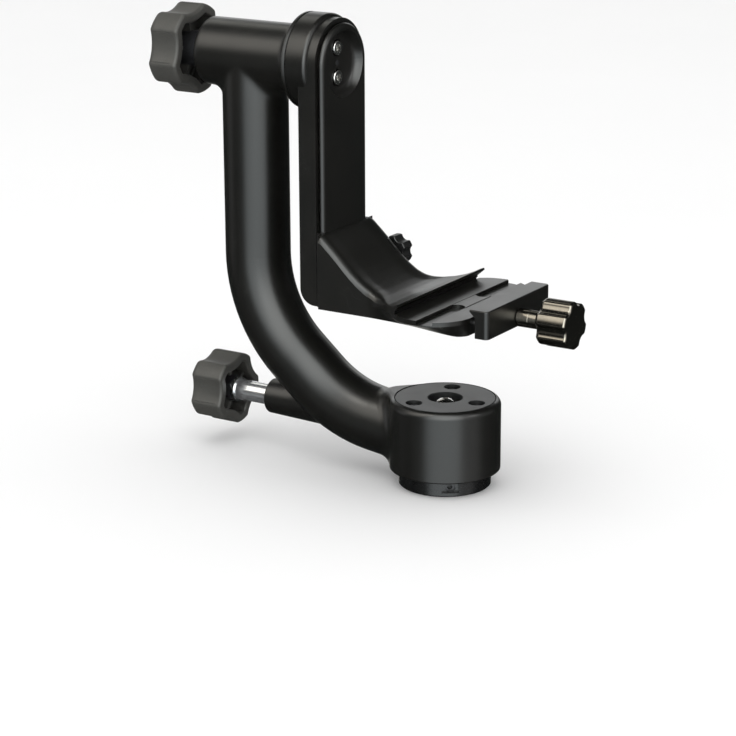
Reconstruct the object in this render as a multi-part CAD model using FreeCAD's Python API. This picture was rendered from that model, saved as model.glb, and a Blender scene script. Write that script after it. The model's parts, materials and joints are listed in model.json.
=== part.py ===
import FreeCAD, Part
import os
from math import sin, cos, acos, pi, radians, sqrt
from FreeCAD import Vector as V

os.makedirs("parts", exist_ok=True)

# Full-size gimbal tripod head. Millimetres, +Z up.
# Origin: centre of the base's underside, on the pan axis.
# +X: from the main arm towards the lens clamp, along the tilt axis.

# ---------------------------------------------------------------- dimensions
BASE_R = 26.4          # base plate radius
BASE_H = 9.0           # base plate height
THREAD_R = 4.0         # wall of the 3/8-16 tripod thread (minor diameter 8.0)
HOUS_R = 31.75         # pan housing radius
HOUS_Z0 = 9.3          # underside of the pan housing
HOUS_Z1 = 50.8         # rim of the pan housing
CAP_R = 28.5           # top cap radius
CAP_Z0 = 43.6          # underside of the cap
CAP_Z1 = 50.55         # top of the cap
CAP_HOLE_R = 4.65      # three counterbores in the cap
CAP_HOLE_C = 20.5      # their pitch circle radius
CAP_BORE_R = 9.85      # centre hole in the cap
TUBE_R = 19.06         # main arm tube
ARM_X = -127.0         # axis of the upright run
ARM_ZB = 119.9         # height where the bend starts
BEND1_R = 78.0         # first bend, centreline
BEND1_A = 49.2         # its angle, degrees
RUN_L = 18.9           # straight run between the bends
BEND2_R = 77.5         # second bend, centreline
BEND2_A = 33.4         # its angle, degrees
ROOT_RUN = 27.0        # straight end of the tube, into the housing
ROOT_R = 10.0          # blend between tube and housing
TILT_Z = 235.0         # tilt axis height
TILT_R = 19.6          # tilt tube radius
TILT_X0 = -156.7       # outer end of the tilt tube
HUB_R = 27.3           # flange and hub radius
FLANGE_X0 = -91.2      # arm flange, outer side
FLANGE_X1 = -89.1      # arm flange, hub side
HUB_X0 = -88.5         # back of the rotating hub
HUB_X1 = -75.0         # front of the round part of the hub
BAR_X0 = -81.4         # back of the swing bar
BAR_X1 = -69.8         # front of the swing bar
BAR_W = 25.2           # half width of the swing bar
BAR_Z0 = 99.5          # lower end of the swing bar
RAIL_X = -66.2         # face of the dovetail rail
RAIL_W = 22.6          # half width of the rail
DISH_R = 19.0          # round recess over the tilt axis
PLAT_Z0 = 99.5         # underside of the platform
PLAT_W = 29.0          # half width of the platform's ramp
LIP_X = -2.4           # nose of the fixed dovetail lip
LIP_Z = 115.5          # top of the fixed lip
FLOOR_Z = 109.4        # channel floor
SLOT_D = 2.0           # depth of the two stop pockets
TONGUE_X = 33.2        # end of the channel floor
JAW_X0 = 38.9          # inner face of the jaw, fully open
JAW_X1 = 46.8          # outer face of the jaw
JAW_W = 35.5           # half length of the jaw
JAW_Z0 = 99.6
JAW_Z1 = 115.3
CLAMP_Z = 104.4        # clamp screw axis
LOCK_Z = 32.6          # pan lock axis
CK0 = 62.6             # lens clamp knob, inner end
CK1 = 81.6             # lens clamp knob, outer end
HK_X = -55.0           # height clamp screw axis
HK_Z = 121.5

# ---------------------------------------------------------------- helpers
def cx(r, x0, x1, y=0.0, z=0.0):
    return Part.makeCylinder(r, x1 - x0, V(x0, y, z), V(1, 0, 0))

def cy(r, y0, y1, x=0.0, z=0.0):
    return Part.makeCylinder(r, y1 - y0, V(x, y0, z), V(0, 1, 0))

def cz(r, z0, z1, x=0.0, y=0.0):
    return Part.makeCylinder(r, z1 - z0, V(x, y, z0), V(0, 0, 1))

def box(x0, x1, y0, y1, z0, z1):
    return Part.makeBox(x1 - x0, y1 - y0, z1 - z0, V(x0, y0, z0))

def kx(r0, r1, x0, x1, y=0.0, z=0.0):
    return Part.makeCone(r0, r1, x1 - x0, V(x0, y, z), V(1, 0, 0))

def kz(r0, r1, z0, z1, x=0.0, y=0.0):
    return Part.makeCone(r0, r1, z1 - z0, V(x, y, z0), V(0, 0, 1))

def one(s):
    s = s.removeSplitter()
    sol = sorted(s.Solids, key=lambda a: -a.Volume)
    return sol[0]

def fillet(s, r, pick):
    """Round the edges that pick() takes; try smaller radii if the first fails."""
    for k in (1.0, 0.8, 0.6, 0.4):
        es = [e for e in s.Edges if pick(e)]
        if not es:
            return s
        try:
            t = s.makeFillet(r * k, es)
            if t.isValid() and t.Volume > 0 and len(t.Solids) == 1:
                if k < 1.0:
                    print("fillet", r, "done at", round(r * k, 2))
                return t.Solids[0]
        except Exception:
            pass
    print("fillet skipped", r)
    return s

def chamfer(s, r, pick):
    es = [e for e in s.Edges if pick(e)]
    try:
        t = s.makeChamfer(r, es)
        if t.isValid() and len(t.Solids) == 1:
            return t.Solids[0]
    except Exception:
        pass
    print("chamfer skipped", r)
    return s

def bb(e):
    return e.BoundBox

def prism(pts, vec):
    w = Part.makePolygon([V(*p) for p in pts] + [V(*pts[0])])
    return Part.Face(w).extrude(V(*vec))

def spline(pts):
    c = Part.BSplineCurve()
    c.interpolate([V(*p) for p in pts])
    return c.toShape()

def out(name, shape):
    if isinstance(shape, (list, tuple)):
        shape = Part.makeCompound(list(shape)) if len(shape) > 1 else shape[0]
    ok = shape.isValid()
    print("%-26s solids %d vol %9.1f valid %s" % (name, len(shape.Solids), shape.Volume, ok))
    shape.exportStep("parts/%s.step" % name)

def hexprism_x(af, x0, x1, y, z):
    r = af / sqrt(3.0)
    pts = [(x0, y + r * cos(radians(60 * i + 30)), z + r * sin(radians(60 * i + 30))) for i in range(6)]
    return prism(pts, (x1 - x0, 0, 0))

def hexprism_z(af, z0, z1, x, y):
    r = af / sqrt(3.0)
    pts = [(x + r * cos(radians(60 * i)), y + r * sin(radians(60 * i)), z0) for i in range(6)]
    return prism(pts, (0, 0, z1 - z0))

def lobed(R, n, rs, ds, a0, x0, x1, crest):
    """Lobed grip about the X axis at y = z = 0: n scallops of radius rs
    centred at distance ds; a0 is the angle of the first scallop from +Y."""
    s = cx(R, x0, x1)
    for i in range(n):
        a = radians(a0 + 360.0 * i / n)
        s = s.cut(cx(rs, x0 - 1, x1 + 1, ds * cos(a), ds * sin(a)))
    s = one(s)
    s = fillet(s, crest, lambda e: bb(e).XLength > 0.9 * (x1 - x0))
    return s

# ---------------------------------------------------------------- base
base = cz(BASE_R, 0, BASE_H)
base = chamfer(base, 0.6, lambda e: bb(e).ZLength < 0.01 and bb(e).ZMin < 0.01)
base = base.cut(cz(THREAD_R, -1, BASE_H + 1))
base = base.cut(kz(THREAD_R + 0.5, THREAD_R, -0.01, 0.5))   # lead-in
slot_angles = (-52.7, 127.3)
for a in slot_angles:
    b = box(BASE_R - 2.6, BASE_R + 3, -5, 5, 2.2, BASE_H + 1)
    b.rotate(V(0, 0, 0), V(0, 0, 1), a)
    base = base.cut(b)
    h = Part.makeCylinder(3.02, 12, V(13, 0, 4.8), V(1, 0, 0))
    h.rotate(V(0, 0, 0), V(0, 0, 1), a)
    base = base.cut(h)
SCREW_C = 9.5         # pitch circle of the flange screws, inside the lower bearing's seat
flange_screw_xy = [(SCREW_C * cos(radians(a)), SCREW_C * sin(radians(a))) for a in (-7.7, 82.3, 172.3, 262.3)]
for (x, y) in flange_screw_xy:
    base = base.cut(cz(2.05, -1, BASE_H + 1, x, y)).cut(kz(4.0, 2.0, -0.01, 2.3, x, y))
out("base_plate", one(base))

gs = []
for a in slot_angles:
    s = Part.makeCylinder(3.0, 6.0, V(16.5, 0, 4.8), V(1, 0, 0))
    s = s.cut(Part.makeCylinder(1.5, 3.0, V(19.7, 0, 4.8), V(1, 0, 0)))
    s.rotate(V(0, 0, 0), V(0, 0, 1), a)
    gs.append(s)
out("base_set_screws", gs)

# spindle: flange, lower seat, brake drum, upper seat
sp = cz(17.0, BASE_H, 12.3).fuse(cz(12.5, 12.0, 22.2)).fuse(cz(14.0, 22.2, 36.2)).fuse(cz(8.5, 36.0, 44.0))
sp = sp.cut(cz(5.0, BASE_H - 1, 19.0)).cut(cz(4.05, 24.0, 45.0))
for (x, y) in flange_screw_xy:
    sp = sp.cut(cz(1.98, BASE_H - 1, 18.5, x, y))
sp = one(sp)
out("pan_spindle", sp)

fs = []
for (x, y) in flange_screw_xy:
    s = kz(3.85, 1.95, 0.15, 2.3, x, y).fuse(cz(1.95, 2.3, 18.0, x, y))
    s = s.cut(hexprism_z(2.5, 0.1, 1.6, x, y))
    fs.append(one(s))
out("base_flange_screws", fs)

# two angular contact bearings: inner races stay on the spindle, outer races turn
def bearing(r_in, r_out, z0, z1, n):
    zc = 0.5 * (z0 + z1)
    rp = 0.5 * (r_in + r_out)
    rb = 0.30 * (r_out - r_in)
    inner = cz(rp - 0.55 * rb, z0, z1).cut(cz(r_in, z0 - 1, z1 + 1)).cut(Part.makeTorus(rp, rb + 0.06, V(0, 0, zc)))
    outer = cz(r_out, z0, z1).cut(cz(rp + 0.55 * rb, z0 - 1, z1 + 1)).cut(Part.makeTorus(rp, rb + 0.06, V(0, 0, zc)))
    balls = []
    for i in range(n):
        a = 2 * pi * i / n
        balls.append(Part.makeSphere(rb, V(rp * cos(a), rp * sin(a), zc)))
    return one(inner), one(outer), balls

li, lo, lb = bearing(12.52, 21.0, 12.6, 21.6, 15)
ui, uo, ub = bearing(8.52, 15.5, 36.6, 43.2, 13)
out("pan_bearing_inner_races", [li, ui])
out("pan_bearing_outer_races", [lo, uo])
out("pan_bearing_balls", lb + ub)

rw = cz(9.3, 44.0, 45.4).cut(cz(4.2, 43, 46))
rw = chamfer(rw, 0.3, lambda e: abs(bb(e).ZMin - 45.4) < 0.01 and bb(e).ZLength < 0.01 and bb(e).XLength > 15)
out("pan_retaining_washer", rw)
head = cz(5.9, 45.4, 47.6).fuse(Part.makeSphere(7.6, V(0, 0, 42.7)).common(cz(5.9, 47.6, 52)))
head = one(head)
bolt = head.fuse(cz(4.0, 25.0, 45.5))
bolt = one(bolt).cut(hexprism_z(3.2, 47.6, 52, 0, 0))
out("pan_retaining_bolt", one(bolt))

# ---------------------------------------------------------------- main arm
def bend_point(c, R, a):
    return V(c.x - R * cos(a), 0, c.z - R * sin(a))

A1 = radians(BEND1_A)
A2 = radians(BEND1_A + BEND2_A)

def arm_body(r, z_top, x_end_run):
    """Upright run, bend, short straight, second bend and the run into the
    housing, all of one round section of radius r."""
    c1 = V(ARM_X + BEND1_R, 0, ARM_ZB)
    up = cz(r, ARM_ZB, z_top, ARM_X, 0)
    circ = Part.Wire(Part.makeCircle(r, V(ARM_X, 0, ARM_ZB), V(0, 0, 1)))
    b1 = Part.Face(circ).revolve(c1, V(0, -1, 0), BEND1_A)
    p1 = bend_point(c1, BEND1_R, A1)
    d1 = V(sin(A1), 0, -cos(A1))
    run = Part.makeCylinder(r, RUN_L, p1, d1)
    p2 = p1 + d1 * RUN_L
    c2 = p2 + V(cos(A1), 0, sin(A1)) * BEND2_R
    circ2 = Part.Wire(Part.makeCircle(r, p2, d1))
    b2 = Part.Face(circ2).revolve(c2, V(0, -1, 0), BEND2_A)
    p3 = bend_point(c2, BEND2_R, A2)
    d3 = V(sin(A2), 0, -cos(A2))
    body = up.fuse([b1, run, b2])
    if x_end_run:
        body = body.fuse(Part.makeCylinder(r, x_end_run, p3, d3))
    return one(body), p1, p2, p3, d3

arm, p1, p2, p3, d3 = arm_body(TUBE_R, TILT_Z, 0)
tilt = cx(TILT_R, TILT_X0, FLANGE_X0 + 0.5, 0, TILT_Z)
top = one(tilt.fuse(cz(TUBE_R, 150, TILT_Z, ARM_X, 0)))
top = fillet(top, 8.0, lambda e: 190 < bb(e).ZMin < TILT_Z - 1 and bb(e).XLength > 5 and bb(e).YLength > 5
             and abs(bb(e).Center.x - ARM_X) < 3 and bb(e).XLength < 45)
top = fillet(top, 1.6, lambda e: abs(bb(e).XMin - TILT_X0) < 0.01 and bb(e).XLength < 0.01)
# flare into the flange
flare = kx(TILT_R - 0.02, 23.4, -97.0, -91.0, 0, TILT_Z)
flange = cx(HUB_R, FLANGE_X0, FLANGE_X1, 0, TILT_Z)
flange = fillet(flange, 0.5, lambda e: bb(e).XLength < 0.01)
# the housing and the end of the tube, blended over more than the housing's
# height and then faced off above and below
root = one(Part.makeCylinder(TUBE_R, ROOT_RUN, p3, d3).fuse(cz(HOUS_R, HOUS_Z0 - 25.0, HOUS_Z1 + 25.0)))
root = fillet(root, ROOT_R, lambda e: -36 < bb(e).XMin and bb(e).XMax < -18 and bb(e).ZLength > 12 and bb(e).YLength > 8)
root = one(root.cut(box(-60, 60, -60, 60, -60, HOUS_Z0)).cut(box(-60, 60, -60, 60, HOUS_Z1, 120)))
root = fillet(root, 4.2, lambda e: abs(bb(e).ZMin - HOUS_Z1) < 0.01 and bb(e).ZLength < 0.01)
root = fillet(root, 0.8, lambda e: abs(bb(e).ZMin - HOUS_Z0) < 0.01 and bb(e).ZLength < 0.01)
body = one(arm.fuse([root, top, flare, flange]))
# lock boss on the outside of the bend
boss = kx(10.37, 11.6, -118.0, -78.0, 0, LOCK_Z)
boss = fillet(boss, 0.8, lambda e: abs(bb(e).XMax + 118.0) < 0.01)
body = one(body.fuse(boss))
# hollow inside of the tube
inner, _, _, _, _ = arm_body(14.6, 205.0, 0)
inner = inner.cut(box(-62, 0, -40, 40, 0, 80))
inner = inner.cut(cx(13.5, -130, -60, 0, LOCK_Z))
body = body.cut(inner)
# pan bearing bores, brake zone and cap recess
body = body.cut(cz(17.6, HOUS_Z0 - 1, 12.8)).cut(cz(21.0, 12.55, 21.6)).cut(cz(21.0, HOUS_Z0 - 1, 12.6))
body = body.cut(cz(14.7, 21, 37)).cut(cz(15.5, 36.55, CAP_Z0 + 1)).cut(cz(28.95, CAP_Z0 - 0.1, HOUS_Z1 + 1))
for a in (0, 109, -118.5):
    x, y = CAP_HOLE_C * cos(radians(a)), CAP_HOLE_C * sin(radians(a))
    body = body.cut(cz(2.02, 33.0, CAP_Z0 + 1, x, y))
# pan lock: bush seat in the boss, rod bore and shoe bore
body = body.cut(cx(8.0, -118.5, -104.0, 0, LOCK_Z)).cut(cx(4.6, -105, -24.0, 0, LOCK_Z)).cut(cx(3.8, -24.5, -13, 0, LOCK_Z))
# tilt shaft bore with a bush seat at each end
body = body.cut(cx(10.2, TILT_X0 - 1, FLANGE_X1 + 1, 0, TILT_Z)).cut(cx(12.5, TILT_X0 - 1, -142.0, 0, TILT_Z)).cut(cx(12.5, -108.0, FLANGE_X1 + 1, 0, TILT_Z))
out("main_arm", one(body))

# ---------------------------------------------------------------- cap
cap = cz(CAP_R, CAP_Z0, CAP_Z1)
cap = fillet(cap, 0.5, lambda e: abs(bb(e).ZMin - CAP_Z1) < 0.01 and bb(e).ZLength < 0.01)
cap = cap.cut(cz(CAP_BORE_R, CAP_Z0 - 1, CAP_Z1 + 1))
cap = cap.cut(kz(CAP_BORE_R - 0.05, CAP_BORE_R + 0.45, CAP_Z1 - 0.45, CAP_Z1 + 0.05))
cs = []
for a in (0, 109, -118.5):
    x, y = CAP_HOLE_C * cos(radians(a)), CAP_HOLE_C * sin(radians(a))
    cap = cap.cut(cz(CAP_HOLE_R, CAP_Z0 + 2.3, CAP_Z1 + 1, x, y)).cut(cz(2.2, CAP_Z0 - 1, CAP_Z1, x, y))
    cap = cap.cut(kz(CAP_HOLE_R - 0.05, CAP_HOLE_R + 0.3, CAP_Z1 - 0.3, CAP_Z1 + 0.05, x, y))
    s = cz(3.5, CAP_Z0 + 2.3, CAP_Z0 + 5.0, x, y).fuse(cz(2.0, 34.0, CAP_Z0 + 2.3, x, y))
    s = one(s)
    s = fillet(s, 0.4, lambda e: abs(bb(e).ZMin - (CAP_Z0 + 5.0)) < 0.01 and bb(e).ZLength < 0.01)
    s = s.cut(hexprism_z(3.0, CAP_Z0 + 3.2, CAP_Z0 + 6, x, y))
    cs.append(one(s))
out("top_cap", one(cap))
out("cap_screws", cs)

# ---------------------------------------------------------------- pan lock
bush = cx(8.0, -117.7, -104.3, 0, LOCK_Z).cut(cx(6.28, -124, -103, 0, LOCK_Z))
out("pan_lock_bush", bush)
rod = cx(6.2, -146.0, -106.8, 0, LOCK_Z).fuse(kx(6.2, 4.2, -106.8, -104.8, 0, LOCK_Z)).fuse(cx(4.2, -104.8, -25.0, 0, LOCK_Z))
out("pan_lock_rod", one(rod))
shoe = cx(3.6, -25.0, -13.2, 0, LOCK_Z).cut(cz(14.5, 20, 45))   # its top stays below the upper bearing
out("pan_brake_shoe", one(shoe))

def rad(e):
    """Distance from the X axis of the middle of an edge."""
    m = e.valueAt(0.5 * (e.FirstParameter + e.LastParameter))
    return sqrt(m.y ** 2 + m.z ** 2)

def knob5(R, dep, rs, a0, x0, x1, rim0, rim1, rim_in, crest, wall, cav_d, hub_r, hole_r, hole_x, zc):
    """Five-lobed moulded grip with scallops dep deep. The hollow towards +X
    follows the outline at the distance wall and has a hub in it."""
    ds = R - dep + rs
    at = lambda e, x: abs(bb(e).XMin - x) < 0.01 and bb(e).XLength < 0.01
    s = lobed(R, 5, rs, ds, a0, x0, x1, crest)
    s = fillet(s, rim0, lambda e: at(e, x0))
    xf = x1 - cav_d
    cav = lobed(R - wall, 5, rs + wall, ds, a0, xf, x1 + 1, 2.0)
    cav = fillet(cav, 1.5, lambda e: at(e, xf))
    s = one(s.cut(cav))
    s = fillet(s, rim_in, lambda e: at(e, x1) and rad(e) < R - dep - 0.5 * (wall - dep))
    s = fillet(s, rim1, lambda e: at(e, x1) and rad(e) > R - dep - 0.4)
    # fine crease at each side of each scallop, where the crest's rounding ends
    g, h = R - crest, rs + crest
    cx_ = (g * g + ds * ds - h * h) / (2 * ds)      # centre of the rounding, along the scallop's axis
    cy_ = sqrt(g * g - cx_ * cx_)
    tx, ty = ds + (cx_ - ds) * rs / h, cy_ * rs / h
    for i in range(5):
        for sg in (-1, 1):
            t = radians(a0 + 72.0 * i)
            yy, zz = tx * cos(t) - sg * ty * sin(t), tx * sin(t) + sg * ty * cos(t)
            s = s.cut(cx(0.34, x0 - 1, x1 - rim1 - 1.4, yy, zz))
    # ribs between the hub and the grip wall
    for i in range(5):
        rb_ = box(xf - 1, x1 - 4.5, hub_r - 1.0, R - dep - wall + 1.5, -1.1, 1.1)
        rb_.rotate(V(0, 0, 0), V(1, 0, 0), a0 + 72 * i)
        s = s.fuse(rb_)
    s = s.cut(cx(hole_r, hole_x, x1 + 1))
    s = one(s)
    s.translate(V(0, 0, zc))
    return s

PK0, PK1, PKR = -165.4, -142.7, 21.5
pk = knob5(PKR, 3.4, 18.3, 174.0, PK0, PK1, 4.2, 1.7, 1.0, 2.5, 5.0, 11.6, 8.6, 8.5, -161.05, LOCK_Z)
out("pan_knob", pk)
ins = hexprism_x(14.4, -161.0, -144.2, 0, LOCK_Z).cut(cx(6.22, -147, -140, 0, LOCK_Z)).cut(cx(2.5, -160, -140, 0, LOCK_Z))
ins = one(ins.fuse(cx(8.45, -160.5, -155, 0, LOCK_Z)))
ins = ins.cut(cx(6.22, -146.02, -140, 0, LOCK_Z))
out("pan_knob_insert", one(ins))
col = cx(7.3, -143.9, -142.1, 0, LOCK_Z)
col = fillet(col, 0.8, lambda e: bb(e).XLength < 0.01 and bb(e).YLength > 15)
col = col.cut(cx(6.25, -145, -140, 0, LOCK_Z))
out("pan_knob_collar", one(col))

# ---------------------------------------------------------------- tilt bearing
lbush = cx(12.5, TILT_X0 + 0.6, -142.2, 0, TILT_Z).cut(cx(9.06, -170, -130, 0, TILT_Z))
rbush = cx(12.5, -107.8, -90.2, 0, TILT_Z).cut(cx(9.06, -120, -80, 0, TILT_Z))
out("tilt_bushes", [lbush, rbush])
shaft = cx(9.0, -157.6, -82.0, 0, TILT_Z).fuse(cx(16.0, -87.2, -82.0, 0, TILT_Z)).fuse(cx(5.0, -179.5, -157.6, 0, TILT_Z))
for dz in (8.4, -8.4):
    shaft = shaft.cut(cx(2.52, -88, -80, 0, TILT_Z + dz))
shaft = shaft.cut(cx(1.52, -86.0, -80, 0, TILT_Z))
out("tilt_shaft", one(shaft))
fw = cx(25.0, -89.0, -88.5, 0, TILT_Z).cut(cx(17.0, -90, -88, 0, TILT_Z))
out("tilt_friction_washer", fw)
tw = cx(14.2, -159.4, -157.2, 0, TILT_Z).cut(cx(5.1, -161, -156, 0, TILT_Z)).cut(cx(9.4, -158.4, -156, 0, TILT_Z))
tw = fillet(tw, 0.4, lambda e: bb(e).XLength < 0.01 and bb(e).YLength > 27)
out("tilt_thrust_washer", one(tw))
TK0, TK1, TKR = -186.4, -165.4, 26.2
tk = knob5(TKR, 4.1, 22.0, 172.7, TK0, TK1, 5.0, 2.0, 1.2, 3.0, 5.5, 12.4, 10.6, 10.5, -183.05, TILT_Z)
out("tilt_knob", tk)
tins = cx(10.45, -183.0, -159.5, 0, TILT_Z).cut(cx(5.06, -181.2, -150, 0, TILT_Z))
tins = one(tins)
out("tilt_knob_insert", tins)

# ---------------------------------------------------------------- swing arm
hub = cx(HUB_R, HUB_X0, HUB_X1, 0, TILT_Z)
hub = fillet(hub, 2.2, lambda e: abs(bb(e).XMin - HUB_X1) < 0.01 and bb(e).XLength < 0.01)
hub = fillet(hub, 0.5, lambda e: abs(bb(e).XMax - HUB_X0) < 0.01 and bb(e).XLength < 0.01)

def stadium(x0, x1, w, z0):
    return one(cx(w, x0, x1, 0, TILT_Z).fuse(box(x0, x1, -w, w, z0, TILT_Z)))

bar = stadium(BAR_X0, BAR_X1, BAR_W, BAR_Z0)
bar = fillet(bar, 12.0, lambda e: abs(bb(e).ZMin - BAR_Z0) < 0.01 and bb(e).YLength > 40 and bb(e).XLength < 0.01 and abs(bb(e).XMin - BAR_X0) < 0.01)
bar = fillet(bar, 1.0, lambda e: bb(e).XLength < 0.01 and abs(bb(e).XMin - BAR_X0) < 0.01 and bb(e).ZLength > 50 and bb(e).YLength < 0.01)
bar = fillet(bar, 3.0, lambda e: bb(e).XLength < 0.01 and abs(bb(e).XMin - BAR_X1) < 0.01 and bb(e).YLength > 40 and bb(e).ZMin > 200)
rail = stadium(BAR_X1 - 0.5, RAIL_X, RAIL_W, BAR_Z0)
rail = fillet(rail, 2.2, lambda e: bb(e).XLength < 0.01 and abs(bb(e).XMin - RAIL_X) < 0.01 and bb(e).ZLength > 15)
# undercut at the foot of the rail
ucut = prism([(-69.8, RAIL_W + 1, 90), (-68.4, RAIL_W + 1, 90), (-68.4, RAIL_W, 90), (-69.8, RAIL_W - 1.4, 90)], (0, 0, TILT_Z - 90))
ucut2 = ucut.mirror(V(0, 0, 0), V(0, 1, 0))
usolid = cx(RAIL_W + 1, -69.8, -68.4, 0, TILT_Z).cut(kx(RAIL_W - 1.4, RAIL_W, -69.8, -68.4, 0, TILT_Z)).cut(box(-75, -60, -40, 40, 150, TILT_Z))
swing = hub.fuse([bar, rail])
swing = one(swing)
swing = swing.cut(ucut).cut(ucut2).cut(usolid)
# dish: conical wall with a coved foot
pr = [(-71.2, 0, TILT_Z), (-71.2, 14.2, TILT_Z), (-70.9, 15.6, TILT_Z), (-70.0, 16.9, TILT_Z), (-68.6, 17.9, TILT_Z), (RAIL_X, DISH_R, TILT_Z)]
w = Part.Wire([Part.makeLine(V(*pr[0]), V(*pr[1])), spline(pr[1:]), Part.makeLine(V(*pr[-1]), V(-60, DISH_R, TILT_Z)),
               Part.makeLine(V(-60, DISH_R, TILT_Z), V(-60, 0, TILT_Z)), Part.makeLine(V(-60, 0, TILT_Z), V(*pr[0]))])
dish = Part.Face(w).revolve(V(0, 0, TILT_Z), V(1, 0, 0), 360)
swing = swing.cut(dish)
swing = swing.cut(cx(16.1, HUB_X0 - 1, -82.0, 0, TILT_Z))
for dz in (8.4, -8.4):
    swing = swing.cut(cx(4.9, -74.4, -70, 0, TILT_Z + dz)).cut(cx(2.7, -83, -70, 0, TILT_Z + dz))
swing = swing.cut(cx(1.5, -83, -70, 0, TILT_Z))
swing = one(swing)
out("swing_arm", swing)
ss = []
for dz in (8.4, -8.4):
    s = cx(4.25, -74.4, -70.2, 0, TILT_Z + dz)
    s = fillet(s, 0.7, lambda e: abs(bb(e).XMin + 70.2) < 0.01 and bb(e).XLength < 0.01)
    s = s.fuse(cx(2.5, -87.0, -74.4, 0, TILT_Z + dz))
    s = one(s).cut(hexprism_x(4.0, -72.8, -69, 0, TILT_Z + dz))
    ss.append(one(s))
out("swing_arm_screws", ss)
dp = cx(1.5, -85.5, -71.0, 0, TILT_Z)
out("hub_dowel_pin", dp)

# ---------------------------------------------------------------- platform
top_o = [(-33, 29.0), (-28, 29.9), (-22, 32.6), (-16, 37.0), (-10, 42.2), (-5, 46.2), (-1, 49.0), (4, 50.8), (9, 51.5), (14, 51.4),
         (20, 49.8), (25, 46.6), (29, 42.2), (31.6, 37.6), (TONGUE_X, 31.0)]
bot_o = [(-33, 29.0), (-28, 29.2), (-22, 29.6), (-16, 30.1), (-10, 30.7), (-5, 31.3), (-1, 32.0), (4, 33.0), (9, 34.2), (14, 35.3),
         (20, 36.5), (25, 37.2), (29, 37.0), (31.6, 35.0), (TONGUE_X, 31.0)]

def outline(pts, z):
    a = [(-69.5, -PLAT_W, z), (-33, -PLAT_W, z)]
    e1 = Part.makeLine(V(*a[0]), V(*a[1]))
    e2 = spline([(x, -y, z) for x, y in pts])
    e3 = Part.makeLine(V(TONGUE_X, -pts[-1][1], z), V(TONGUE_X, pts[-1][1], z))
    e4 = spline([(x, y, z) for x, y in reversed(pts)])
    e5 = Part.makeLine(V(-33, PLAT_W, z), V(-69.5, PLAT_W, z))
    e6 = Part.makeLine(V(-69.5, PLAT_W, z), V(-69.5, -PLAT_W, z))
    return Part.Wire([e1, e2, e3, e4, e5, e6])

loft = Part.makeLoft([outline(bot_o, PLAT_Z0), outline(top_o, 106.6)], True, True)
upper = Part.Face(outline(top_o, 106.6)).extrude(V(0, 0, 40))
plan = one(loft.fuse(upper))
# side profile
ramp = [(-65.0, 142.0), (-62, 139.5), (-58, 135.9), (-54, 132.2), (-50, 128.1), (-45, 123.4), (-40, 119.4), (-35, 116.1), (-30, 113.7),
        (-25, 112.1), (-20, 111.3), (-15, 111.3), (-10, 112.3), (-6, 113.9), (-3.2, LIP_Z)]

def side_profile(ramp_pts, y0, y1):
    e = [Part.makeLine(V(-69.5, y0, PLAT_Z0), V(-69.5, y0, 142.2)), Part.makeLine(V(-69.5, y0, 142.2), V(-65.4, y0, 142.2)),
         Part.makeLine(V(-65.4, y0, 142.2), V(ramp_pts[0][0], y0, ramp_pts[0][1])), spline([(x, y0, z) for x, z in ramp_pts])]
    pts = [ramp_pts[-1], (LIP_X, ramp_pts[-1][1]), (LIP_X, LIP_Z - 1.3), (LIP_X - 3.2, LIP_Z - 4.5), (LIP_X - 3.2, FLOOR_Z), (TONGUE_X, FLOOR_Z),
           (TONGUE_X, PLAT_Z0), (-69.5, PLAT_Z0)]
    for a, b in zip(pts, pts[1:]):
        e.append(Part.makeLine(V(a[0], y0, a[1]), V(b[0], y0, b[1])))
    return Part.Face(Part.Wire(e)).extrude(V(0, y1 - y0, 0))

# left 1 mm high here; the smooth top surface below trims it
plat = one(plan.common(side_profile([(x, z + 1.0) for x, z in ramp], -60, 60)))
# the ramp's top is one smooth surface: flat in the middle, a bead down each
# side, rounded over the outer edge; the bead dies away towards the lip
def lerp(pts, x):
    if x <= pts[0][0]:
        return pts[0][1]
    for (xa, za), (xb, zb) in zip(pts, pts[1:]):
        if x <= xb:
            return za + (zb - za) * (x - xa) / (xb - xa)
    return pts[-1][1]

def soft(t):
    t = min(1.0, max(0.0, t))
    return t * t * (3 - 2 * t)

def ramp_z(x, e):
    """Height at x, at a distance e inside the plan outline."""
    z = lerp(ramp, x)
    rr = 0.9 + 4.3 * soft((-14.0 - x) / 14.0)
    dd = 0.7 * soft((-16.0 - x) / 16.0) * soft((x + 66.5) / 3.0)
    z -= dd * soft((e - 0.85 * rr) / (1.9 * rr))
    k = 0.06 * rr
    if e < rr:
        t = (rr - max(e, k)) / rr
        z -= rr * (1 - sqrt(1 - t * t))
    if e < k:
        t = (rr - k) / rr
        z -= (k - e) * t / sqrt(1 - t * t)
    return z

outl = [(-80.0, PLAT_W)] + top_o
xs_ = [-66.4 + 2.0 * i for i in range(34)]
es_ = [-0.8, 0.0, 0.3, 0.8, 1.5, 2.4, 3.4, 4.4, 5.6, 7.0, 8.6, 10.4, 12.6, 15.4]
rows = []
for x in xs_:
    w_ = lerp(outl, x)
    left = [V(x, -(w_ - e), ramp_z(x, e)) for e in es_]
    mid = [V(x, (w_ - es_[-1]) * f, ramp_z(x, 20.0)) for f in (-0.5, 0.0, 0.5)]
    right = [V(x, w_ - e, ramp_z(x, e)) for e in reversed(es_)]
    rows.append(left + mid + right)
bs = Part.BSplineSurface()
bs.interpolate(rows)
over = bs.toShape().extrude(V(0, 0, 50))
plat = one(plat.cut(over))
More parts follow.
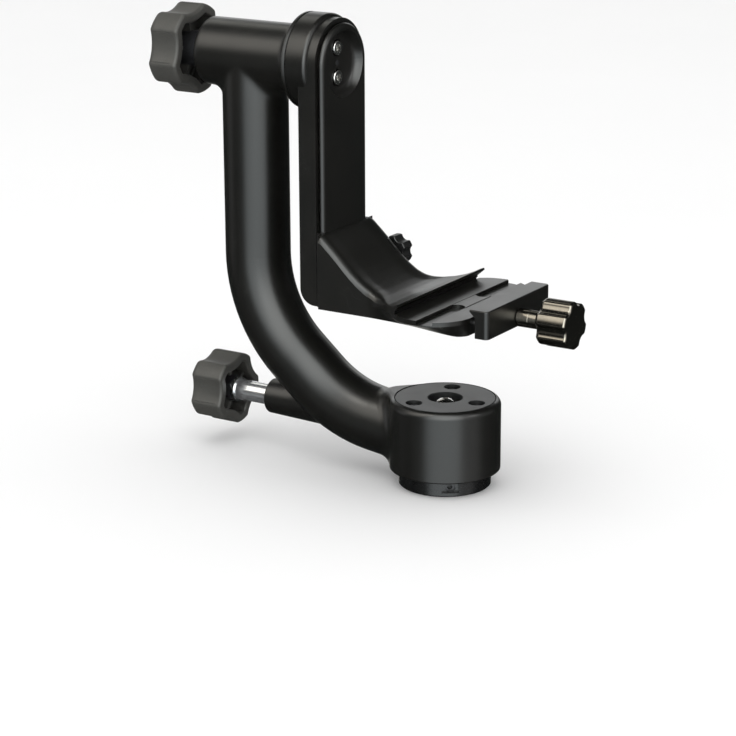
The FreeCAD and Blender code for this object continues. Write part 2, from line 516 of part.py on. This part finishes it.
# narrow the part that hooks round the rail, and cut the rail channel
plat = plat.cut(box(-72, -66.5, BAR_W, 40, 90, 150)).cut(box(-72, -66.5, -40, -BAR_W, 90, 150))
ch = prism([(-69.6, -21.6, 90), (-68.25, -22.95, 90), (-65.95, -22.95, 90), (-65.95, 23.05, 90), (-68.25, 23.05, 90), (-69.6, 21.7, 90)], (0, 0, 70))
plat = plat.cut(ch)
# channel floor: seam line, the stop pockets and the lower plateau edge
plat = plat.cut(box(11.3, 11.8, -60, 60, FLOOR_Z - 0.5, FLOOR_Z + 1))
for s in (-1, 1):
    y0, y1 = (10.5, 60) if s > 0 else (-60, -10.5)
    pk_ = box(11.5, 20.5, y0 + (4.5 if s > 0 else 0), y1 - (0 if s > 0 else 4.5), FLOOR_Z - SLOT_D, FLOOR_Z + 1)
    pk_ = pk_.fuse(cz(4.5, FLOOR_Z - SLOT_D, FLOOR_Z + 1, 16.0, s * 15.0))
    plat = plat.cut(pk_)
plat = plat.cut(box(20.5, 40, -60, 60, FLOOR_Z - 0.25, FLOOR_Z + 1))
# relief line under the lip
plat = plat.cut(box(LIP_X - 3.7, LIP_X - 2.6, -60, 60, FLOOR_Z - 0.5, FLOOR_Z + 0.5))
# clamp screw bore and guide pin bores
plat = plat.cut(cx(3.1, 2.0, 60, 0, CLAMP_Z)).cut(cx(2.0, 10, 60, -22, CLAMP_Z)).cut(cx(2.0, 10, 60, 22, CLAMP_Z))
# height clamp: the +Y hook is a separate block
hj_box = box(-72, -45.0, 21.0, 40, 109.5, 131.0)
hj_gap = box(-72, -44.6, 23.4, 40, 109.1, 131.4).fuse(box(-72, -65.9, 20.0, 40, 109.1, 131.4))
full = plat.copy()
plat = plat.cut(hj_gap)
plat = plat.cut(cy(2.6, 2.0, 40, HK_X, HK_Z))
for dz in (-8.0, 8.0):
    plat = plat.cut(cy(1.5, 15.0, 40, -55.0 + (0 if dz < 0 else -4.0), HK_Z + dz))
plat = one(plat)
out("platform", plat)
hj = full.common(box(-69.6, -45.0, 23.9, 40, 109.5, 131.0)).fuse(full.common(box(-69.6, -66.2, 21.0, 30, 109.5, 131.0)))
hj = one(hj)
hj = hj.cut(cy(2.7, 10, 40, HK_X, HK_Z))
pins = []
for dz in (-8.0, 8.0):
    px = -55.0 + (0 if dz < 0 else -4.0)
    hj = hj.cut(cy(1.7, 15.0, 40, px, HK_Z + dz))
    pins.append(cy(1.5, 15.0, 27.6, px, HK_Z + dz))
out("height_clamp_jaw", one(hj))
out("height_clamp_pins", pins)
hs = cy(2.4, 4.0, 33.0, HK_X, HK_Z)
out("height_clamp_screw", hs)
hk = lobed(9.3, 6, 3.7, 11.2, 0.0, 0.0, 9.8, 0.8)
hk = fillet(hk, 1.6, lambda e: bb(e).XLength < 0.01 and abs(bb(e).XMin - 9.8) < 0.01)
hk = fillet(hk, 0.8, lambda e: bb(e).XLength < 0.01 and abs(bb(e).XMin) < 0.01)
hk.rotate(V(0, 0, 0), V(0, 0, 1), 90)
hk.translate(V(HK_X, 31.6, HK_Z))
hk = hk.fuse(cy(4.8, 29.3, 32.0, HK_X, HK_Z))
hk = one(hk).cut(cy(2.4, 25, 33.0, HK_X, HK_Z))
out("height_knob", one(hk))

# ---------------------------------------------------------------- lens clamp
jpts = [(JAW_X1, -JAW_W, JAW_Z0), (JAW_X0, -JAW_W, JAW_Z0), (JAW_X0, -JAW_W, 110.9), (35.5, -JAW_W, 114.3), (35.5, -JAW_W, JAW_Z1), (JAW_X1, -JAW_W, JAW_Z1)]
jaw = prism(jpts, (0, 2 * JAW_W, 0))
jaw = fillet(jaw, 2.4, lambda e: bb(e).ZLength > 14 and bb(e).XLength < 0.01 and abs(bb(e).XMin - JAW_X1) < 0.01 and bb(e).YLength < 0.01)
jaw = fillet(jaw, 0.7, lambda e: abs(bb(e).ZMin - JAW_Z1) < 0.01 and bb(e).ZLength < 0.01 and bb(e).XMax > 40)
jaw = jaw.cut(cx(3.2, 30, 60, 0, CLAMP_Z)).cut(cx(2.1, 30, 45.2, -22, CLAMP_Z)).cut(cx(2.1, 30, 45.2, 22, CLAMP_Z))
out("clamp_jaw", one(jaw))
gp = [cx(2.0, 11.0, 38.9 + 0.6, y, CLAMP_Z) for y in (-22, 22)]
out("clamp_guide_pins", gp)
scr = cx(2.9, 9.0, 69.0, 0, CLAMP_Z)
scr = chamfer(scr, 0.6, lambda e: abs(bb(e).XMin - 9.0) < 0.01 and bb(e).XLength < 0.01)
out("clamp_screw", scr)
spc = cx(5.1, 46.95, 54.6, 0, CLAMP_Z).cut(cx(2.95, 40, 60, 0, CLAMP_Z))
spc = fillet(spc, 0.5, lambda e: bb(e).XLength < 0.01 and bb(e).YLength > 10)
out("clamp_spacer", one(spc))
ck = lobed(13.6, 6, 5.4, 16.8, 10.0, CK0, CK1, 1.8)
ck = fillet(ck, 1.3, lambda e: abs(bb(e).XMin - CK1) < 0.01 and bb(e).XLength < 0.01)
ck = fillet(ck, 2.6, lambda e: abs(bb(e).XMax - CK0) < 0.01 and bb(e).XLength < 0.01)
neck = cx(5.1, 54.7, CK0 + 0.5)
ck = one(ck.fuse(neck)).cut(cx(2.94, 50, 69.05))
ck = one(ck)
ck.translate(V(0, 0, CLAMP_Z))
out("clamp_knob", ck)
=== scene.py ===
import json
import math

import bmesh
import bpy
from mathutils import Matrix, Vector

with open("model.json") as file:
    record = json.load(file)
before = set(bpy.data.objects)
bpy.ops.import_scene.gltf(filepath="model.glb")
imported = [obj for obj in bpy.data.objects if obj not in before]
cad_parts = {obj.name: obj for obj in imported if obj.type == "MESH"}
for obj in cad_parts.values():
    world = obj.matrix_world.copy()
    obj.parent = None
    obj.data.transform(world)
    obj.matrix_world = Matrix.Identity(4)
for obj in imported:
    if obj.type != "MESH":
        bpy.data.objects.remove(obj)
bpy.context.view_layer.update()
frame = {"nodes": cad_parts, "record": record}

N = frame["nodes"]

# ------------------------------------------------------------------ camera
scene = bpy.context.scene
AL, EL, RO = math.radians(32.195), math.radians(16.754), -0.236
r = Vector((math.cos(AL), math.sin(AL), 0))
b = Vector((math.sin(AL) * math.cos(EL), -math.cos(AL) * math.cos(EL), math.sin(EL)))
u = b.cross(r)
c, s = math.cos(math.radians(RO)), math.sin(math.radians(RO))
r2, u2 = r * c + u * s, u * c - r * s
cam_data = bpy.data.cameras.new("camera")
cam = bpy.data.objects.new("camera", cam_data)
scene.collection.objects.link(cam)
cam_data.sensor_fit = "HORIZONTAL"
cam_data.sensor_width = 36.0
cam_data.lens = 118.38
cam_data.clip_start, cam_data.clip_end = 0.05, 60
cam.matrix_world = Matrix(((r2.x, u2.x, b.x, 0.65940), (r2.y, u2.y, b.y, -1.12926), (r2.z, u2.z, b.z, 0.46149), (0, 0, 0, 1)))
scene.camera = cam

scene.view_settings.view_transform = "Standard"
scene.view_settings.look = "None"
scene.view_settings.exposure = 0.0
scene.view_settings.gamma = 1.0


# ------------------------------------------------------------------ node helpers
class Graph:
    """A material's node tree, with short calls for the nodes used here."""

    def __init__(self, name):
        self.mat = bpy.data.materials.new(name)
        self.mat.use_nodes = True
        self.t = self.mat.node_tree
        self.t.nodes.clear()
        self.outp = self.node("ShaderNodeOutputMaterial")
        self.p = self.node("ShaderNodeBsdfPrincipled")
        self.link(self.p.outputs["BSDF"], self.outp.inputs["Surface"])
        self.co = self.node("ShaderNodeTexCoord").outputs["Object"]

    def node(self, kind, **kw):
        n = self.t.nodes.new(kind)
        for k, v in kw.items():
            setattr(n, k, v)
        return n

    def link(self, a, b_):
        self.t.links.new(a, b_)

    def put(self, sock, v):
        if isinstance(v, bpy.types.NodeSocket):
            self.link(v, sock)
        else:
            sock.default_value = v

    def math(self, op, a, b_=None, c_=None, clamp=False):
        n = self.node("ShaderNodeMath", operation=op, use_clamp=clamp)
        for i, v in enumerate((a, b_, c_)):
            if v is not None:
                self.put(n.inputs[i], v)
        return n.outputs[0]

    def scaled(self, sx, sy, sz, co=None):
        n = self.node("ShaderNodeMapping")
        self.link(co or self.co, n.inputs["Vector"])
        n.inputs["Scale"].default_value = (sx, sy, sz)
        return n.outputs[0]

    def noise(self, scale, detail=2.0, rough=0.5, co=None, distortion=0.0):
        n = self.node("ShaderNodeTexNoise")
        self.link(co or self.co, n.inputs["Vector"])
        n.inputs["Scale"].default_value = scale
        n.inputs["Detail"].default_value = detail
        n.inputs["Roughness"].default_value = rough
        n.inputs["Distortion"].default_value = distortion
        return n.outputs[0]

    def voronoi(self, scale, co=None, feature="F1"):
        n = self.node("ShaderNodeTexVoronoi", feature=feature)
        self.link(co or self.co, n.inputs["Vector"])
        n.inputs["Scale"].default_value = scale
        return n.outputs["Distance"]

    def remap(self, v, a0, a1, b0, b1, clamp=True):
        n = self.node("ShaderNodeMapRange", clamp=clamp)
        self.link(v, n.inputs["Value"])
        for k, x in (("From Min", a0), ("From Max", a1), ("To Min", b0), ("To Max", b1)):
            n.inputs[k].default_value = x
        return n.outputs[0]

    def mix(self, f, a, b_):
        n = self.node("ShaderNodeMix", data_type="RGBA")
        self.put(n.inputs[0], f)
        self.put(n.inputs[6], a)
        self.put(n.inputs[7], b_)
        return n.outputs[2]

    def bump(self, h, strength, dist, normal=None):
        n = self.node("ShaderNodeBump")
        self.link(h, n.inputs["Height"])
        n.inputs["Strength"].default_value = strength
        n.inputs["Distance"].default_value = dist
        if normal is not None:
            self.link(normal, n.inputs["Normal"])
        return n.outputs[0]

    def edges(self, radius, lo=0.02, hi=0.25):
        """1 along convex and concave edges, 0 on open surface."""
        bev = self.node("ShaderNodeBevel", samples=4)
        bev.inputs["Radius"].default_value = radius
        geo = self.node("ShaderNodeNewGeometry")
        d = self.node("ShaderNodeVectorMath", operation="DOT_PRODUCT")
        self.link(bev.outputs[0], d.inputs[0])
        self.link(geo.outputs["Normal"], d.inputs[1])
        return self.remap(d.outputs["Value"], 1.0 - lo, 1.0 - hi, 0.0, 1.0)

    def radial(self, axis, centre):
        """Distance from a line through centre along axis."""
        n = self.node("ShaderNodeMapping")
        self.link(self.co, n.inputs["Vector"])
        n.inputs["Location"].default_value = [-v for v in centre]
        n.inputs["Scale"].default_value = [0.0 if a else 1.0 for a in axis]
        loc = [0.0 if a else -v for a, v in zip(axis, centre)]
        n.inputs["Location"].default_value = loc
        ln = self.node("ShaderNodeVectorMath", operation="LENGTH")
        self.link(n.outputs[0], ln.inputs[0])
        return ln.outputs["Value"]


def col(v):
    return (v[0], v[1], v[2], 1.0)


def finish_mat(name, base, var=0.25, tint=None, rough=0.4, rough_var=0.08, grain=2600, grain_h=0.00003, grain_s=0.25,
               metallic=0.0, edge=0.0, edge_col=(0.25, 0.25, 0.25), edge_r=0.0004, spec=0.5, coat=0.0, coat_rough=0.2,
               turned=None, turn_pitch=0.0003, turn_h=0.000006, brushed=None, smudge=0.5, scratch=0.0, ior=1.5, soft=0.0):
    """A worn, machined or moulded finish: colour drifts over centimetres and
    over a fraction of a millimetre, grain in the bump, handling marks in the
    roughness, and paler metal or bloom along the edges."""
    g = Graph(name)
    p = g.p
    cloud = g.noise(28, 4, 0.55)
    fine = g.noise(900, 3, 0.6)
    f = g.math("ADD", g.math("MULTIPLY", cloud, 0.6), g.math("MULTIPLY", fine, 0.4))
    f = g.remap(f, 0.35, 0.65, 0.0, 1.0)
    a = [x * (1 - var) for x in base]
    b2 = [x * (1 + var) for x in (tint or base)]
    colour = g.mix(f, col(a), col(b2))
    rg = g.remap(g.noise(45, 5, 0.6, distortion=0.6), 0.3, 0.7, rough - rough_var * smudge, rough + rough_var * smudge)
    rg = g.math("ADD", rg, g.math("MULTIPLY", g.math("SUBTRACT", g.noise(grain * 0.5, 2, 0.5), 0.5), rough_var))
    # grain
    h = g.math("ADD", g.noise(grain, 3, 0.6), g.math("MULTIPLY", g.noise(grain * 0.28, 2, 0.5), 0.5))
    under = None
    if soft > 0:
        # the casting's skin rounds the corner below the tilt tube over
        bev = g.node("ShaderNodeBevel", samples=8)
        bev.inputs["Radius"].default_value = soft
        flat = g.node("ShaderNodeNewGeometry")
        sep_ = g.node("ShaderNodeSeparateXYZ")
        g.link(g.co, sep_.inputs[0])
        mx = g.node("ShaderNodeMix", data_type="VECTOR")
        g.put(mx.inputs[0], g.remap(sep_.outputs["Z"], 0.180, 0.192, 0.0, 1.0))
        g.put(mx.inputs[4], flat.outputs["Normal"])
        g.put(mx.inputs[5], bev.outputs[0])
        under = mx.outputs[1]
    nrm = g.bump(h, grain_s, grain_h, under)
    if turned:
        axis, centre = turned
        d = g.radial(axis, centre)
        w = g.math("SINE", g.math("MULTIPLY", d, 2 * math.pi / turn_pitch))
        # along the wall the tool's feed marks follow the axis instead
        along = g.node("ShaderNodeVectorMath", operation="DOT_PRODUCT")
        g.link(g.co, along.inputs[0])
        along.inputs[1].default_value = axis
        w2 = g.math("SINE", g.math("MULTIPLY", along.outputs["Value"], 2 * math.pi / turn_pitch))
        nrm = g.bump(g.math("ADD", w, w2), 0.35, turn_h, nrm)
    if brushed:
        sc_ = g.scaled(*brushed)
        lines = g.noise(1.0, 3, 0.7, co=sc_)
        nrm = g.bump(lines, 0.3, 0.00001, nrm)
        rg = g.math("ADD", rg, g.math("MULTIPLY", g.math("SUBTRACT", lines, 0.5), 0.12))
    if scratch > 0:
        # hairlines: thin bands of a stretched noise in two directions
        l1 = g.noise(1.0, 1, 0.4, co=g.scaled(90, 900, 140), distortion=0.4)
        l2 = g.noise(1.0, 1, 0.4, co=g.scaled(700, 110, 800), distortion=0.3)
        band = g.math("MAXIMUM", g.remap(g.math("ABSOLUTE", g.math("SUBTRACT", l1, 0.5)), 0.0, 0.010, 1.0, 0.0),
                      g.remap(g.math("ABSOLUTE", g.math("SUBTRACT", l2, 0.5)), 0.0, 0.008, 1.0, 0.0))
        rare = g.remap(g.noise(35, 2, 0.5), 0.56, 0.68, 0.0, 1.0)
        band = g.math("MULTIPLY", g.math("MULTIPLY", band, rare), scratch)
        colour = g.mix(band, colour, col([min(1.0, x * 3 + 0.04) for x in base]))
        rg = g.math("ADD", rg, g.math("MULTIPLY", band, 0.15))
    if edge > 0:
        e = g.edges(edge_r)
        br = g.remap(g.noise(420, 4, 0.65), 0.38, 0.66, 0.0, 1.0)
        e = g.math("MULTIPLY", g.math("MULTIPLY", e, br), edge, clamp=True)
        colour = g.mix(e, colour, col(edge_col))
    g.put(p.inputs["Base Color"], colour)
    g.put(p.inputs["Roughness"], g.math("MAXIMUM", rg, 0.04))
    g.link(nrm, p.inputs["Normal"])
    p.inputs["Metallic"].default_value = metallic
    p.inputs["Specular IOR Level"].default_value = spec
    p.inputs["IOR"].default_value = ior
    p.inputs["Coat Weight"].default_value = coat
    p.inputs["Coat Roughness"].default_value = coat_rough
    return g.mat


Z = (0, 0, 1)
X = (1, 0, 0)
Y = (0, 1, 0)
AXPAN, AXTILT, AXLOCK, AXCL, AXHK = (0, 0, 0), (0, 0, 0.235), (0, 0, 0.0326), (0, 0, 0.1044), (-0.055, 0, 0.1215)

M = {}
M["black_satin"] = finish_mat("black_satin", (0.0058, 0.0060, 0.0054), var=0.25, tint=(0.0068, 0.0064, 0.0055), rough=0.31, rough_var=0.05,
                              grain=3400, grain_h=0.000014, grain_s=0.22, edge=0.45, edge_col=(0.075, 0.075, 0.072), edge_r=0.0004, scratch=0.25)
M["cast_satin"] = finish_mat("cast_satin", (0.0058, 0.0060, 0.0054), var=0.25, tint=(0.0068, 0.0064, 0.0055), rough=0.31, rough_var=0.05,
                             grain=3400, grain_h=0.000014, grain_s=0.22, scratch=0.25, soft=0.0045)
M["black_anodised"] = finish_mat("black_anodised", (0.0050, 0.0050, 0.0052), rough=0.27, rough_var=0.06, grain=3600, grain_h=0.00001, grain_s=0.2,
                                 turned=(Z, AXPAN), edge=0.6, edge_col=(0.13, 0.13, 0.13), edge_r=0.0003, scratch=0.3)
M["cap_grey"] = finish_mat("cap_grey", (0.017, 0.018, 0.018), var=0.15, rough=0.40, rough_var=0.05, grain=3000, grain_h=0.00001, grain_s=0.25,
                           turned=(Z, AXPAN), turn_pitch=0.00022, turn_h=0.000002, edge=0.5, edge_col=(0.16, 0.16, 0.16), edge_r=0.0003, scratch=0.15)
M["knob_rubber"] = finish_mat("knob_rubber", (0.052, 0.051, 0.046), var=0.16, rough=0.52, rough_var=0.09, grain=1500, grain_h=0.00006, grain_s=0.45,
                              edge=0.35, edge_col=(0.085, 0.085, 0.085), edge_r=0.0007, smudge=0.9)
M["height_knob_black"] = finish_mat("height_knob_black", (0.008, 0.008, 0.008), rough=0.38, grain=2000, grain_h=0.00004, grain_s=0.35,
                                    edge=0.35, edge_col=(0.07, 0.07, 0.07), edge_r=0.0005)
M["knob_metal"] = finish_mat("knob_metal", (0.195, 0.181, 0.157), tint=(0.21, 0.191, 0.160), var=0.10, metallic=1.0, rough=0.17, rough_var=0.05, grain=3600,
                             grain_h=0.000008, grain_s=0.2, edge=0.5, edge_col=(0.30, 0.28, 0.24), edge_r=0.0004, scratch=0.3)
M["bright_steel"] = finish_mat("bright_steel", (0.62, 0.61, 0.59), var=0.06, metallic=1.0, rough=0.20, rough_var=0.06, grain=3000, grain_h=0.000006,
                               grain_s=0.2, edge=0.3, edge_col=(0.85, 0.84, 0.82), edge_r=0.0003)
M["chrome_steel"] = finish_mat("chrome_steel", (0.74, 0.75, 0.77), var=0.03, metallic=0.86, rough=0.17, rough_var=0.03, grain=2500, grain_h=0.000002,
                               grain_s=0.1, turned=(X, AXLOCK), turn_pitch=0.00018, turn_h=0.0000008)
M["silver_collar"] = finish_mat("silver_collar", (0.70, 0.70, 0.69), var=0.05, metallic=1.0, rough=0.24, rough_var=0.05, grain=3000, grain_h=0.000006,
                                grain_s=0.2, turned=(X, AXLOCK), turn_h=0.000002)
M["bare_steel"] = finish_mat("bare_steel", (0.46, 0.46, 0.47), var=0.08, metallic=1.0, rough=0.28, rough_var=0.06, grain=2600, grain_h=0.00001, grain_s=0.2)
M["black_steel"] = finish_mat("black_steel", (0.020, 0.020, 0.022), rough=0.34, rough_var=0.08, grain=2400, grain_h=0.00002, grain_s=0.3,
                              edge=0.6, edge_col=(0.20, 0.20, 0.20), edge_r=0.0003)
M["dark_metal"] = finish_mat("dark_metal", (0.055, 0.056, 0.060), var=0.2, metallic=0.7, rough=0.40, rough_var=0.08, grain=2400, grain_h=0.00002, grain_s=0.3,
                             edge=0.5, edge_col=(0.25, 0.25, 0.25), edge_r=0.0003)
M["brass"] = finish_mat("brass", (0.62, 0.45, 0.20), var=0.08, metallic=1.0, rough=0.30, grain=2600, grain_h=0.00001, grain_s=0.2, turned=(X, AXLOCK), turn_h=0.000002)
M["bronze_bush"] = finish_mat("bronze_bush", (0.42, 0.27, 0.14), var=0.14, metallic=1.0, rough=0.42, grain=2200, grain_h=0.00003, grain_s=0.4)
M["white_nylon"] = finish_mat("white_nylon", (0.74, 0.73, 0.68), var=0.04, rough=0.45, grain=1800, grain_h=0.00002, grain_s=0.3)
M["dark_fibre"] = finish_mat("dark_fibre", (0.022, 0.020, 0.018), var=0.35, rough=0.78, grain=1400, grain_h=0.00005, grain_s=0.5)

slots = {x["node"]: x["material_slot"] for x in frame["record"]["subparts"]}
for name, ob in N.items():
    ob.data.materials.clear()
    ob.data.materials.append(M["cast_satin" if name == "main_arm" else slots[name]])

# ------------------------------------------------------------------ stage
def mesh_object(name, verts, faces):
    me = bpy.data.meshes.new(name)
    me.from_pydata(verts, [], faces)
    me.update()
    ob = bpy.data.objects.new(name, me)
    scene.collection.objects.link(ob)
    return ob


n = 24
size = 12.0
vs = [((i / n - 0.5) * size, (j / n - 0.5) * size, -0.0002) for j in range(n + 1) for i in range(n + 1)]
fs = [(j * (n + 1) + i, j * (n + 1) + i + 1, (j + 1) * (n + 1) + i + 1, (j + 1) * (n + 1) + i) for j in range(n) for i in range(n)]
floor = mesh_object("floor", vs, fs)
g = Graph("floor_paper")
fcol = g.mix(g.noise(3, 3, 0.5), col((0.885, 0.885, 0.885)), col((0.915, 0.915, 0.913)))
g.put(g.p.inputs["Base Color"], fcol)
g.p.inputs["Roughness"].default_value = 0.9
g.p.inputs["Specular IOR Level"].default_value = 0.1
floor.data.materials.append(g.mat)
floor.visible_glossy = False

ch = Vector((math.sin(AL), -math.cos(AL), 0))
rh = Vector((math.cos(AL), math.sin(AL), 0))


def around(phi, elev):
    """Direction phi degrees to the left of the camera's azimuth, elev up."""
    p_, e_ = math.radians(phi), math.radians(elev)
    hd = ch * math.cos(p_) - rh * math.sin(p_)
    return hd * math.cos(e_) + Vector((0, 0, math.sin(e_)))



# The studio: plain white round the object, softboxes and a strip of pale
# backdrop that its gloss picks up, and a dark room below the table's edge.
world = bpy.data.worlds.new("studio")
scene.world = world
world.use_nodes = True
world.cycles.sampling_method = "NONE"
wt = world.node_tree
wt.nodes.clear()


def wnode(kind, **kw):
    n_ = wt.nodes.new(kind)
    for k, v in kw.items():
        setattr(n_, k, v)
    return n_


wo = wnode("ShaderNodeOutputWorld")
bg = wnode("ShaderNodeBackground")
wt.links.new(bg.outputs[0], wo.inputs[0])
wdir = wnode("ShaderNodeTexCoord").outputs["Generated"]
sep = wnode("ShaderNodeSeparateXYZ")
wt.links.new(wdir, sep.inputs[0])


def wrange(sock, a0, a1, b0, b1):
    m = wnode("ShaderNodeMapRange", interpolation_type="SMOOTHSTEP")
    wt.links.new(sock, m.inputs["Value"])
    for k, x in (("From Min", a0), ("From Max", a1), ("To Min", b0), ("To Max", b1)):
        m.inputs[k].default_value = x
    return m.outputs[0]


def wmul(x, y):
    m = wnode("ShaderNodeMath", operation="MULTIPLY")
    for i_, v in enumerate((x, y)):
        if isinstance(v, bpy.types.NodeSocket):
            wt.links.new(v, m.inputs[i_])
        else:
            m.inputs[i_].default_value = v
    return m.outputs[0]


total = None


def wadd(weight, colour, radiance):
    """Adds weight x colour x radiance to what the gloss sees."""
    global total
    sc_ = wnode("ShaderNodeVectorMath", operation="SCALE")
    sc_.inputs[0].default_value = [x * radiance for x in colour]
    wt.links.new(weight, sc_.inputs["Scale"])
    if total is None:
        total = sc_.outputs[0]
        return
    ad = wnode("ShaderNodeVectorMath", operation="ADD")
    wt.links.new(total, ad.inputs[0])
    wt.links.new(sc_.outputs[0], ad.inputs[1])
    total = ad.outputs[0]


def wdot(direction):
    d_ = wnode("ShaderNodeVectorMath", operation="DOT_PRODUCT")
    wt.links.new(wdir, d_.inputs[0])
    d_.inputs[1].default_value = direction
    return d_.outputs["Value"]


def softbox(direction, inner, outer, radiance, colour=(1, 1, 1)):
    """A round softbox: full within inner degrees of direction, none past outer."""
    w_ = wrange(wdot(Vector(direction).normalized()), math.cos(math.radians(outer)), math.cos(math.radians(inner)), 0.0, 1.0)
    wadd(w_, colour, radiance)


def tallbox(phi, half0, half1, z0, z1, z2, z3, radiance, colour=(1, 1, 1)):
    """A tall panel at azimuth phi: full within half0 degrees to either side,
    none past half1; it fades in from height z0 to z1 and out from z2 to z3."""
    az = around(phi, 0)
    flat = wnode("ShaderNodeVectorMath", operation="MULTIPLY")
    wt.links.new(wdir, flat.inputs[0])
    flat.inputs[1].default_value = (1, 1, 0)
    nn = wnode("ShaderNodeVectorMath", operation="NORMALIZE")
    wt.links.new(flat.outputs[0], nn.inputs[0])
    dd = wnode("ShaderNodeVectorMath", operation="DOT_PRODUCT")
    wt.links.new(nn.outputs[0], dd.inputs[0])
    dd.inputs[1].default_value = az
    w_ = wrange(dd.outputs["Value"], math.cos(math.radians(half1)), math.cos(math.radians(half0)), 0.0, 1.0)
    zz = sep.outputs["Z"]
    w_ = wmul(w_, wmul(wrange(zz, z0, z1, 0.0, 1.0), wrange(zz, z2, z3, 1.0, 0.0)))
    wadd(w_, colour, radiance)


# a faint room; the key panel in front, taller than the object and brighter
# above; the backdrop behind; a warm panel high on the left; small kickers
wadd(wrange(sep.outputs["Z"], -0.3, 0.5, 1.0, 1.0), (0.9, 1.0, 0.98), 0.03)
tallbox(6, 24, 44, -0.62, -0.30, 0.80, 0.98, 2.5, (0.91, 0.98, 1.0))
tallbox(-48, 14, 34, -0.62, -0.30, 0.60, 0.90, 0.7)
tallbox(-2, 16, 46, -0.18, 0.30, 0.66, 0.97, 2.5, (1.0, 0.99, 0.94))
softbox(around(16, 66), 7, 20, 1.9, (1.0, 0.98, 0.93))
softbox(around(2, 4), 4, 15, 1.5, (0.95, 1.0, 0.99))
tallbox(180, 18, 34, 0.03, 0.16, 0.33, 0.44, 1.5, (0.99, 1.0, 1.0))
softbox(around(158, 40), 5, 15, 1.4, (1.0, 0.99, 0.92))
softbox(around(-60, 50), 6, 18, 0.8)
softbox(around(-60, 24), 4, 13, 4.0)
softbox(around(57, 57), 3, 11, 7.6, (1.0, 0.97, 0.90))
softbox(around(115, 42), 4, 13, 1.0)
softbox((-0.51, -0.62, 0.60), 6, 28, 2.7, (1.0, 0.96, 0.88))
softbox(around(64, -17), 3, 14, 0.15)
softbox(around(180, -14), 6, 20, 0.9, (1.0, 0.98, 0.92))
softbox(around(-92, 4), 6, 20, 0.4)
softbox(around(98, 4), 6, 22, 0.7)
lp = wnode("ShaderNodeLightPath")
cm = wnode("ShaderNodeMix", data_type="RGBA")
wt.links.new(lp.outputs["Is Glossy Ray"], cm.inputs[0])
cm.inputs[6].default_value = (1.0, 1.0, 1.0, 1)
wt.links.new(total, cm.inputs[7])
wt.links.new(cm.outputs[2], bg.inputs["Color"])
bg.inputs["Strength"].default_value = 1.0

ov_data = bpy.data.lights.new("overhead", "AREA")
ov_data.shape = "RECTANGLE"
ov_data.size, ov_data.size_y = 1.6, 1.4
ov_data.energy = 6.5
overhead = bpy.data.objects.new("overhead", ov_data)
overhead.location = (0.1, -0.4, 1.7)
overhead.rotation_mode = "QUATERNION"
overhead.rotation_quaternion = (overhead.location - Vector((-0.05, 0, 0.1))).to_track_quat("Z", "Y")
overhead.visible_camera = False
overhead.visible_glossy = False
scene.collection.objects.link(overhead)
